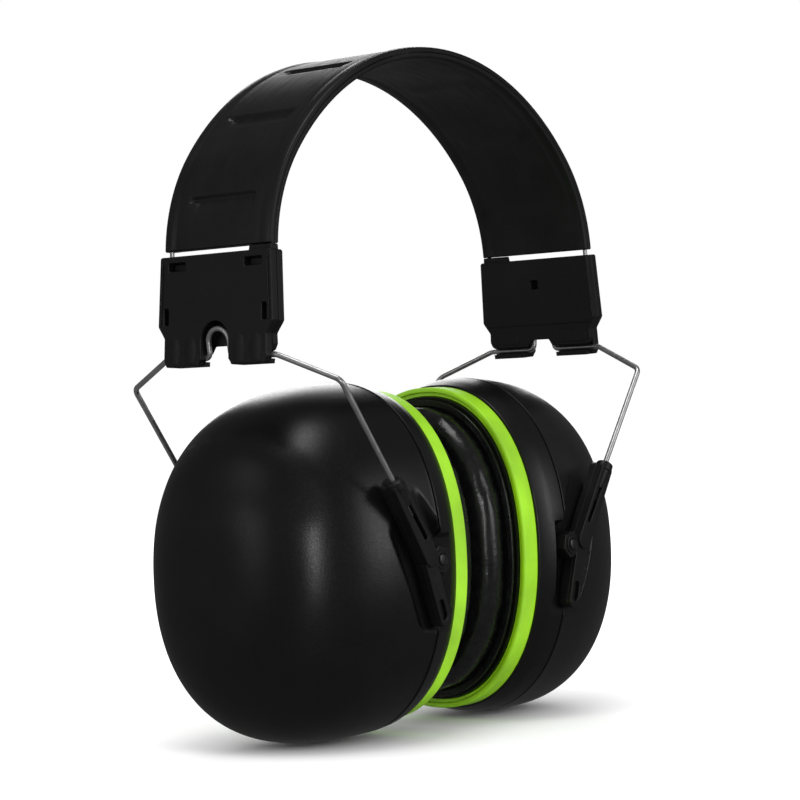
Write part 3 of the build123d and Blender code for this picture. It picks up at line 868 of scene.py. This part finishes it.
# ---- headband ----
class Arch:
    """Middle surface of the sleeve, measured along the arch from the crown's top."""

    def __init__(self):
        top = sleeve_high[2] - LAYER
        turn = CROWN_TURN
        end_x = HINGE_X - (TERMINAL_TOP + SLEEVE_GAP) * sin(LEAN)
        end_z = HINGE_Z + (TERMINAL_TOP + SLEEVE_GAP) * cos(LEAN)
        drop = (cos(turn) - 1) / sin(turn)
        self.side_r = (end_z - top - drop * end_x) / (
            sin(LEAN) - cos(turn) - drop * (cos(LEAN) - sin(turn))
        )
        self.crown_r = (end_x - self.side_r * (cos(LEAN) - sin(turn))) / sin(turn)
        self.crown_z = top - self.crown_r
        self.side_x = (self.crown_r - self.side_r) * sin(turn)
        self.side_z = self.crown_z + (self.crown_r - self.side_r) * cos(turn)
        self.crown_half = self.crown_r * turn
        self.half = self.crown_half + self.side_r * (pi / 2 - turn - LEAN)

    def at(self, distance, offset):
        """X and Z at a distance along the arch and an offset outwards."""
        side = 1 if distance >= 0 else -1
        beyond = max(0.0, abs(distance) - self.crown_half) / self.side_r
        angle = min(abs(distance), self.crown_half) / self.crown_r + beyond
        if beyond:
            centre, reach = (self.side_x, self.side_z), self.side_r + offset
        else:
            centre, reach = (0.0, self.crown_z), self.crown_r + offset
        return side * (centre[0] + reach * sin(angle)), centre[1] + reach * cos(angle)


ARCH = Arch()


def rib_depth(distance, across):
    """Depth of the moulded cross recesses in the outer face: steep above, ramped below."""
    spot = np.round(distance / RIB_PITCH)
    inside = np.abs(spot) <= (RIB_COUNT - 1) / 2
    away = distance - spot * RIB_PITCH
    down = np.where(spot == 0, np.abs(away), away * np.sign(spot))
    steep = smooth(-1.9, -1.1, down)
    ramp = 1 - smooth(-0.6, 4.6, down)
    ends = 1 - smooth(RIB_HALF - 0.5, RIB_HALF + 0.3, np.abs(across))
    tab = 1 - 0.85 * smooth(RIB_HALF - 2.6, RIB_HALF - 2.2, across) * (down > 0.2)
    return RIB_DEPTH * steep * ramp * ends * inside * tab


def layer_section(thick, outward):
    """Cross-section of a sleeve layer: (across, height) round its closed edge."""
    corners = [(-BAND_HALF, 0.04), (BAND_HALF, 0.04), (BAND_HALF, thick), (-BAND_HALF, thick)]
    outline = rounded(corners, LAYER_EDGES, 5)
    dense = []
    for a, b in zip(outline, [*outline[1:], outline[0]]):
        steps = max(1, int(np.hypot(b[0] - a[0], b[1] - a[1]) / 0.8))
        for t in np.linspace(0, 1, steps, endpoint=False):
            dense.append((a[0] + (b[0] - a[0]) * t, (a[1] + (b[1] - a[1]) * t) * outward))
    return dense


def make_sleeve_layer(name, outward, node):
    """One layer of the sleeve, closed all round, with its moulded relief."""
    section = layer_section(LAYER, outward)
    stops = np.linspace(-ARCH.half, ARCH.half, 640)
    count = len(section)
    points = []
    for number, distance in enumerate(stops):
        into = min(number, len(stops) - 1 - number)
        for across, height in section:
            if abs(height) > LAYER * 0.6:  # the layer's free face
                if outward > 0:
                    height -= rib_depth(distance, across)
                else:
                    height += ripple(distance, across)
                bead = exp(-(((abs(across) - (BAND_HALF - 2.4)) / 1.5) ** 2))
                line = exp(-(((abs(across) - (BAND_HALF - 4.9)) / 0.5) ** 2))
                height += outward * (0.28 * bead - 0.22 * line)
            height *= 1 - 0.25 * (into == 0)
            x, z = ARCH.at(distance, height)
            points.append((x, across, z))
    faces = tube_faces(len(stops), count, False)
    faces.append(tuple(range(count)))
    faces.append(tuple((len(stops) - 1) * count + k for k in reversed(range(count))))
    make_piece(name, points, faces, "headband", "sleeve_black", [node], 50)


def ripple(distance, across):
    """Faint compression ripples on the inside of the sleeve, strongest towards the crown."""
    near_crown = 1 - smooth(30, 95, abs(distance))
    flat = 1 - smooth(15, 19, abs(across))
    wave = sin(distance / 3.1 + 0.5 * noise.noise(Vector((distance * 0.05, across * 0.08, 2.0))))
    slow = noise.noise(Vector((distance * 0.045, across * 0.03, 7.0)))
    spot = np.round(distance / RIB_PITCH) * RIB_PITCH
    under = exp(-(((distance - spot) / 3.2) ** 2)) * (1 - smooth(10.5, 14.5, abs(across)))
    return (0.10 * wave * near_crown + 0.22 * slow) * flat - 0.38 * under


# ---- terminals ----
def axes_matrix(across, up, out, base):
    """A matrix that places a thing drawn in its own X, Y and Z along three directions."""
    return Matrix([(across[k], up[k], out[k], base[k]) for k in range(3)] + [(0, 0, 0, 1)])


def terminal_matrix(side, offset=0.0):
    """Places a plate drawn in (Y, up) on a terminal, offset outwards from its parting plane."""
    normal = Vector((side * cos(LEAN), 0, sin(LEAN)))
    up = Vector((-side * sin(LEAN), 0, cos(LEAN)))
    return axes_matrix((0, 1, 0), up, normal, Vector((side * HINGE_X, 0, HINGE_Z)) + normal * offset)


class Terminal(Build):
    """Gathers plates drawn in (Y, up) on one side's terminal."""

    def __init__(self, side):
        super().__init__()
        self.side = side

    def plate(self, outline, depth, edge, offset, holes=()):
        """Add a plate whose inner face is offset from the parting plane."""
        self.add_mesh(plate_mesh(outline, holes, depth, edge), terminal_matrix(self.side, offset))


def rectangle(x, y, width, height, radius=0.35):
    """A small rectangle with rounded corners."""
    w, h = width / 2, height / 2
    return rounded([(x - w, y - h), (x + w, y - h), (x + w, y + h), (x - w, y + h)], radius, 3)


def terminal_outline(bottom, notch):
    """Outline of a plate: straight top, waisted sides, two legs and the given notch."""
    right = [
        (TOP_HALF, TERMINAL_TOP), (WIDE_HALF, 9.8), (WAIST_HALF, 6.2),
        (WAIST_HALF + 0.2, bottom + 2.0), (WAIST_HALF - 0.8, bottom),
    ]
    corners = [*right, *notch, *[(-p, q) for p, q in reversed(right)]]
    radii = [0.7, 1.2, 1.0, 1.0, 1.4]
    return rounded(corners, [*radii, *[0.5] * len(notch), *reversed(radii)], 4)


def notch_arc(height):
    """Half circle at the top of a notch, round a centre at the given height."""
    return [(NOTCH_R * cos(a), height + NOTCH_R * sin(a)) for a in np.linspace(0, pi, 13)]


def make_outer_plate(side):
    """Outer terminal plate: snap windows, side slots, arch notch and fluted feet."""
    name = side_name(side)
    notch = [(7.0, FOOT_LOW), (NOTCH_R, -0.6), *notch_arc(5.1), (-NOTCH_R, -0.6), (-7.0, FOOT_LOW)]
    holes = []
    for end in (1, -1):
        holes.append(rectangle(end * WINDOW_AT[0], WINDOW_AT[1], 7.0, 2.5))
        holes.append(rectangle(end * SIDE_SLOT_AT[0], SIDE_SLOT_AT[1], 1.8, 5.0))
    work = Terminal(side)
    work.plate(terminal_outline(FOOT_LOW, notch), 2.8, 0.35, 0.0, holes)
    for end in (1, -1):
        feet = [(6.6, FOOT_LOW), (20.2, FOOT_LOW), (20.6, 1.1), (6.4, 1.1)]
        work.plate(rounded(flip(feet, end), 0.6), 3.1, 0.5, -0.15)
        for lower, upper in ((FOOT_LOW, -0.98), (0.98, 1.15)):
            lip = [(7.0, lower), (19.4, lower), (19.6, upper), (6.9, upper)]
            work.plate(rounded(flip(lip, end), 0.08), 2.6, 0.06, -2.6)
        for middle in (9.9, 16.8):
            work.add_points(*flute(side, end * middle, 3.9))
        rib = [(21.7, 28.5), (22.5, 10.2), (22.0, 10.2), (21.2, 28.5)]
        work.plate(rounded(flip(rib, end), 0.2), 0.5, 0.15, 2.65)
    work.piece(
        f"{name}_terminal_cover", "headband", "hard_black", [f"{name}_terminal_outer_plate"], 32
    )


def flute(side, middle, wide):
    """Round-bottomed upright boss on a foot of the terminal."""
    place = terminal_matrix(side)
    points = []
    for up, share in FLUTE:
        for k in range(24):
            angle = 2 * pi * k / 24
            out = 1.5 + 1.75 * share * sin(angle)
            points.append(place @ Vector((middle + wide * share * cos(angle), up, out)))
    return capped_tube(points, 24)


def make_inner_plate(side):
    """Inner terminal plate: snap tabs in the windows, square dimple and a step above the legs."""
    name = side_name(side)
    notch = [(5.3, INNER_LOW), (3.9, 3.4), (-3.9, 3.4), (-5.3, INNER_LOW)]
    tall = [(NOTCH_R, INNER_LOW), *notch_arc(5.2), (-NOTCH_R, INNER_LOW)]
    dimple = rectangle(0, 22, 3.0, 3.0, 0.4)
    work = Terminal(side)
    work.plate(terminal_outline(INNER_LOW, notch), 0.45, 0.08, -2.2, [dimple])
    work.plate(terminal_outline(INNER_LOW, tall), 1.75, 0.08, -1.77, [dimple])
    corner = [(22.5, TERMINAL_TOP - 0.1), (23.3, 9.9), (22.3, 8.4)]
    upper = [*corner, *[(-p, q) for p, q in reversed(corner)]]
    work.plate(rounded(upper, 0.7), 0.6, 0.2, -2.6, [dimple])
    lug = [(12.6, 30.0), (21.9, 30.0), (21.7, 32.2), (13.0, 32.2)]
    work.plate(rounded(flip(lug, side), 0.3), 3.2, 0.3, -1.6)
    for end in (1, -1):
        work.plate(rectangle(end * WINDOW_AT[0], WINDOW_AT[1], 6.6, 2.1, 0.3), 0.8, 0.2, -0.3)
        bar = [(9, 2.2), (19.5, 2.2), (19.5, 6.4), (9, 6.4)]
        work.plate(rounded(flip(bar, end), 0.6), 0.4, 0.15, -2.35)
    work.piece(
        f"{name}_terminal_backplate", "headband", "hard_black", [f"{name}_terminal_inner_plate"], 32
    )


# ---- yoke wires ----
def make_yoke(side):
    """One bent spring wire: both legs, sloping arms, hinge runs and the arch between them."""
    name = side_name(side)
    slide = np.array([SLIDE[0], SLIDE[2]])
    entry = np.array(GUIDE_TOP)
    leg_end, corner = entry - LEG_INSIDE * slide, entry + LEG_ABOVE * slide
    angle = ARCH_LEAN - LEAN
    top = (HINGE_X + ARCH_RISE * sin(angle), HINGE_Z + ARCH_RISE * cos(angle))
    half = [
        (leg_end[0], LEG_Y, leg_end[1]), (corner[0], LEG_Y, corner[1]),
        (HINGE_X, HINGE_HALF, HINGE_Z), (HINGE_X, ARCH_HALF, HINGE_Z), (top[0], ARCH_HALF, top[1]),
    ]
    corners = [(side * x, -y, z) for x, y, z in half]
    corners += [(side * x, y, z) for x, y, z in reversed(half)]
    radii = [3.0, 3.0, 1.8, 4.2]
    points, faces = tube(fillet_path(corners, [*radii, *reversed(radii)], 0.35), YOKE_R, 24)
    make_piece(
        f"{name}_yoke", points, faces, f"{name}_yoke", "spring_steel", [f"{name}_yoke_wire"], 60
    )


def make_band_wires():
    """The two spring wires that run through the sleeve from terminal to terminal."""
    grip = TERMINAL_TOP - 10.0
    foot = (HINGE_X - grip * sin(LEAN), HINGE_Z + grip * cos(LEAN))
    stops = np.linspace(ARCH.half, -ARCH.half, 200)
    path = [foot, *[ARCH.at(distance, 0) for distance in stops], (-foot[0], foot[1])]
    for end, word in ((-1, "front"), (1, "rear")):
        points, faces = tube([(x, end * BAND_WIRE_Y, z) for x, z in path], BAND_WIRE_R, 20)
        make_piece(
            f"band_wire_{word}", points, faces, "headband", "spring_steel",
            [f"headband_wire_{word}"], 60,
        )


# ---- wire guides and pins ----
def hull_of(circles, steps=28):
    """Outline round a few circles: (x, z, radius)."""
    spots = [
        Vector((x + r * cos(a), z + r * sin(a)))
        for x, z, r in circles
        for a in np.linspace(0, 2 * pi, steps, endpoint=False)
    ]
    return [tuple(spots[i]) for i in convex_hull_2d(spots)]


def on_leg(distance, aside=0.0):
    """X and Z on a yoke leg's line, a distance below the guide's entry and aside from the line."""
    down = (-SLIDE[0], -SLIDE[2])
    return (
        GUIDE_TOP[0] + distance * down[0] - aside * down[1],
        GUIDE_TOP[1] + distance * down[1] + aside * down[0],
    )


def make_guide(side, end):
    """Wire guide: collar, tapered bar with rails either side of a slot, hex lobe and lower pocket."""
    name, word = side_name(side), "rear" if end > 0 else "front"
    place = axes_matrix((1, 0, 0), (0, 0, 1), (0, end, 0), (0, end * GUIDE_IN, 0))
    work = Build()

    def slab(outline, low, high, edge, *holes):
        """A plate drawn in (X, Z), between two depths outwards from the guide's inner face."""
        mesh = plate_mesh(flip(outline, side), [flip(h, side) for h in holes], high - low, edge)
        mesh.transform(Matrix.Translation((0, 0, low)))
        work.add_mesh(mesh, place)

    top, middle, foot = [
        (*spot, radius)
        for spot, radius in zip((on_leg(2.6), GUIDE_MID, GUIDE_END), GUIDE_RADII)
    ]
    bar = hull_of([top, middle])
    channel = hull_of([(*on_leg(0.9), 0.95), (*on_leg(26.9), 0.95)])
    groove = hull_of([(*on_leg(6.0), 0.7), (*on_leg(21.0), 0.7)])
    slab(bar, 0, GUIDE_DEEP - CHANNEL_DEEP + LAP, 0.2)
    slab(bar, GUIDE_DEEP - CHANNEL_DEEP, GUIDE_LOW + LAP, 0.05, channel)
    slab(bar, GUIDE_LOW, GUIDE_DEEP, 0.3, groove)
    lower = hull_of([(36.9, -1.3, 2.7), foot])
    pocket = hull_of([(33.3, -12.9, 1.2), (32.2, -16.6, 1.2)])
    slab(lower, 0, GUIDE_LOW - 1.2, 0.2)
    slab(lower, GUIDE_LOW - 1.3, GUIDE_LOW, 0.3, pocket)
    lobe = [
        (PIVOT_X + LOBE_R * cos(a), PIVOT_Z + LOBE_R * sin(a))
        for a in LOBE_TURN + np.arange(6) * pi / 3
    ]
    slab(rounded(lobe, 0.5, 3), 0, GUIDE_LOW - 0.25, 0.3)
    washer, eye = [hull_of([(PIVOT_X, PIVOT_Z, radius)]) for radius in (2.9, 1.9)]
    slab(washer, GUIDE_LOW - 0.3, GUIDE_LOW + 0.1, 0.15, eye)
    entry = (side * GUIDE_TOP[0], end * LEG_Y, GUIDE_TOP[1])
    down = (-side * SLIDE[0], 0, -SLIDE[2])
    collar = [
        (0.0, BORE_R), (0.0, COLLAR_R - 0.5), (0.3, COLLAR_R - 0.1), (0.6, COLLAR_R),
        (2.6, COLLAR_R), (3.0, COLLAR_R - 0.35), (4.6, COLLAR_R - 0.5), (9.0, COLLAR_R - 1.0),
        (9.0, BORE_R),
    ]
    work.add_points(*lathe(collar, entry, down, 40))
    work.piece(
        f"{name}_guide_{word}", f"{name}_guides", "hard_black", [f"{name}_wire_guide_{word}"], 32
    )


def make_pin(side, end):
    """Pivot pin with a domed head, on the guide's lobe."""
    name, word = side_name(side), "rear" if end > 0 else "front"
    base = GUIDE_OUT - 0.75
    floor = POCKET_FLOOR - WALL - 1.0
    head = PIN_R + 0.5
    profile = [
        (floor, 2.0), (floor + 0.3, 2.4), (floor + 0.8, 2.4), (floor + 1.0, PIN_R),
        (base, PIN_R), (base, head - 0.05), (base + 0.12, head), (base + 0.3, head - 0.1),
        (base + 0.45, head - 0.5), (base + 0.5, 0.3),
    ]
    points, faces = lathe(profile, (side * PIVOT_X, 0, PIVOT_Z), (0, end, 0), 36)
    make_piece(
        f"{name}_pivot_pin_{word}", points, faces, f"{name}_cup", "pin_steel",
        [f"{name}_guide_pin_{word}"], 40,
    )


# ---- build it ----
make_sleeve_layer("headband_cover", 1, "headband_outer_cover")
make_sleeve_layer("headband_lining", -1, "headband_inner_lining")
make_band_wires()
for side in (1, -1):
    make_outer_plate(side)
    make_inner_plate(side)
    make_yoke(side)
    make_shell(side)
    make_rim(side)
    make_ring(side)
    make_cushion_plate(side)
    make_cushion(side)
    make_damping_foam(side)
    for end in (-1, 1):
        make_guide(side, end)
        make_pin(side, end)


# ---- floor, light and camera ----
REACH = 60.0  # metres from the object to the floor's edges


def make_floor():
    """Plain pale floor just under the cups, left out of reflections."""
    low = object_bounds()[0][2] - 0.0005
    corners = [(x * REACH, y * REACH, low) for x, y in ((-1, -1), (1, -1), (1, 1), (-1, 1))]
    mesh = bpy.data.meshes.new("floor")
    mesh.from_pydata(corners, [], [(0, 1, 2, 3)])
    pale = (0.95, 0.95, 0.95, 1)
    mesh.materials.append(Shade("floor").give(Base_Color=pale, Roughness=1.0, Specular_IOR_Level=0.0))
    floor = new_object("floor", mesh)
    floor.visible_glossy = False


def aim(thing, place, target):
    """Put a camera or light at a place, facing a target."""
    thing.location = place
    thing.rotation_euler = (Vector(target) - Vector(place)).to_track_quat("-Z", "Y").to_euler()


def add_light(name, place, target, size, power):
    """A rectangular softbox."""
    light = bpy.data.lights.new(name, "AREA")
    light.shape = "RECTANGLE"
    light.size, light.size_y = size
    light.energy = power
    holder = new_object(name, light)
    aim(holder, place, target)


def make_world():
    """White backdrop; even soft light on matt surfaces, a dim surround in glossy ones."""
    world = bpy.data.worlds.new("studio")
    bpy.context.scene.world = world
    world.use_nodes = True
    tree = world.node_tree
    tree.nodes.clear()
    path = tree.nodes.new("ShaderNodeLightPath")
    out = tree.nodes.new("ShaderNodeOutputWorld")

    def surround(strength):
        made = tree.nodes.new("ShaderNodeBackground")
        made.inputs["Color"].default_value = (1, 1, 1, 1)
        made.inputs["Strength"].default_value = strength
        return made.outputs[0]

    def choose(ray, yes, no):
        made = tree.nodes.new("ShaderNodeMixShader")
        tree.links.new(path.outputs[ray], made.inputs[0])
        tree.links.new(no, made.inputs[1])
        tree.links.new(yes, made.inputs[2])
        return made.outputs[0]

    lit = choose("Is Diffuse Ray", surround(1.15), surround(0.10))
    tree.links.new(choose("Is Camera Ray", surround(1.0), lit), out.inputs[0])


def make_camera():
    """Camera at the product view's angle: front-left, level, slightly rolled."""
    azimuth, elevation, roll = radians(49.28), radians(0.14), radians(-2.49)
    distance = 0.84
    target = Vector((0.002, 0, 0.0477))
    level = cos(elevation)
    back = Vector((-sin(azimuth) * level, -cos(azimuth) * level, sin(elevation)))
    right = Vector((cos(azimuth), -sin(azimuth), 0))
    up = back.cross(right)
    tilted_right = right * cos(roll) + up * sin(roll)
    tilted_up = up * cos(roll) - right * sin(roll)
    camera = bpy.data.cameras.new("camera")
    camera.sensor_width = 36
    camera.lens = 119.4
    holder = new_object("camera", camera)
    holder.matrix_world = axes_matrix(tilted_right, tilted_up, back, target + back * distance)
    bpy.context.scene.camera = holder


make_floor()
make_world()
make_camera()
add_light("top", (-0.25, -0.15, 1.1), (0, 0, 0.08), (0.5, 0.5), 3.2)
add_light("strip", (-0.8, -0.87, 0.16), (-0.06, 0, 0.02), (0.08, 0.5), 1.7)
add_light("left", (-1.1, 0.35, 0.3), (-0.05, 0, 0.0), (0.4, 0.6), 0.5)
add_light("front", (0.35, -1.2, 0.3), (0, 0, 0.03), (0.4, 0.7), 2.2)
add_light("rear", (0.9, 0.8, 0.5), (0, 0, 0.05), (0.6, 0.6), 4.0)
bpy.context.scene.view_settings.view_transform = "Standard"
